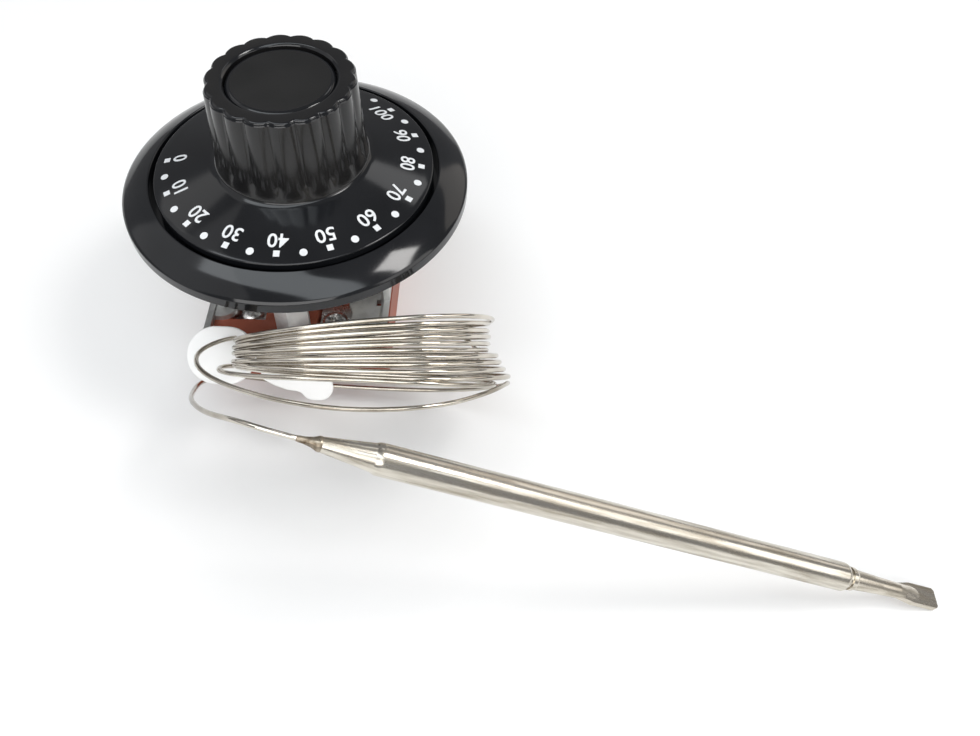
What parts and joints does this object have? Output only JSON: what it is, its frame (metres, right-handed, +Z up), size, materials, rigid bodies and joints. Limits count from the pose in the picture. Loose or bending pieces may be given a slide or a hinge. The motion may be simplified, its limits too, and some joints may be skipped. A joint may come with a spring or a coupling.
{
  "type": "capillary thermostat",
  "caption": "Panel-mount thermostat with a numbered dial knob, sloping bezel, switch base, coiled capillary tube and a long sensing bulb.",
  "frame": {"origin": "on the bench, on the spindle's axis, at the level of the base cover's underside", "axes": "+Z up along the spindle towards the knob, -Y towards the terminals and the coil, +X to the right seen from the terminal side"},
  "size_m": [0.1831, 0.1239, 0.0707],
  "materials": {
    "bezel_black": "gloss",
    "knob_black": "gloss",
    "zinc_sheet": "zinc plated",
    "screw_steel": "plated",
    "base_brown": "moulded",
    "cover_brown": "moulded",
    "brass": "turned",
    "spindle_steel": "turned",
    "spring_steel": "drawn",
    "contact_silver": "polished",
    "capsule_steel": "pressed",
    "ceramic": "ceramic",
    "capillary_steel": "drawn",
    "bulb_steel": "drawn",
    "braze": "brazed",
    "tie_white": "smooth"
  },
  "bodies": {
    "frame": {"bezel_ring": "bezel_black", "panel_screws": "screw_steel", "mounting_bracket": "zinc_sheet", "base_rivets": "screw_steel", "switch_base": "base_brown", "base_cover": "cover_brown", "common_terminal": "screw_steel", "load_terminal": "screw_steel", "terminal_screws": "screw_steel", "fixed_contact": "contact_silver", "capsule_cup": "capsule_steel", "diaphragm": "capsule_steel", "capsule_gland": "capsule_steel", "spindle_bush": "brass", "lever_pin": "spindle_steel", "capillary_root": "capillary_steel", "capillary_lead": "capillary_steel", "capillary_coil": "capillary_steel", "capillary_tail": "capillary_steel", "coil_tie": "tie_white", "bulb_braze": "braze", "sensing_bulb": "bulb_steel", "filling_tube": "bulb_steel"},
    "dial": {"control_knob": "knob_black", "knob_cap": "knob_black", "spindle": "spindle_steel", "spindle_clip": "spring_steel", "stop_washer": "zinc_sheet"},
    "nut": {"setting_nut": "brass"},
    "lever": {"pressure_lever": "zinc_sheet", "calibration_screw": "brass", "range_spring": "spring_steel"},
    "pin": {"push_pin": "ceramic"},
    "striker": {"striker_pin": "ceramic"},
    "blade": {"contact_blade": "brass", "moving_contact": "contact_silver"}
  },
  "joints": [
    {"name": "dial_turn", "type": "hinge", "parent": "frame", "child": "dial", "pos_m": [0, 0, 0.05], "axis": [0, 0, 1], "range_deg": [-147, 89]},
    {"name": "nut_travel", "type": "slide", "parent": "frame", "child": "nut", "axis": [0, 0, 1], "range_m": [-0.00042, 0.00026], "deforming": ["range_spring"]},
    {"name": "lever_tilt", "type": "hinge", "parent": "frame", "child": "lever", "pos_m": [-0.017, 0, 0.02145], "axis": [0, -1, 0], "range_deg": [0, 0.7], "stiffness_Nm_per_rad": 2},
    {"name": "pin_travel", "type": "slide", "parent": "frame", "child": "pin", "axis": [0, 0, 1], "range_m": [0, 0.00022]},
    {"name": "striker_travel", "type": "slide", "parent": "frame", "child": "striker", "axis": [0, 0, 1], "range_m": [0, 0.00038]},
    {"name": "blade_flex", "type": "hinge", "parent": "frame", "child": "blade", "pos_m": [-0.0029, 0, 0.007], "axis": [0, -1, 0], "range_deg": [0, 1.4]}
  ],
  "couplings": [
    {"joint": "nut_travel", "follows": "dial_turn", "m_per_rad": 0.00015915},
    {"joint": "pin_travel", "follows": "lever_tilt", "m_per_rad": 0.017},
    {"joint": "striker_travel", "follows": "lever_tilt", "m_per_rad": 0.03},
    {"joint": "blade_flex", "follows": "lever_tilt", "ratio": 1.8868}
  ]
}
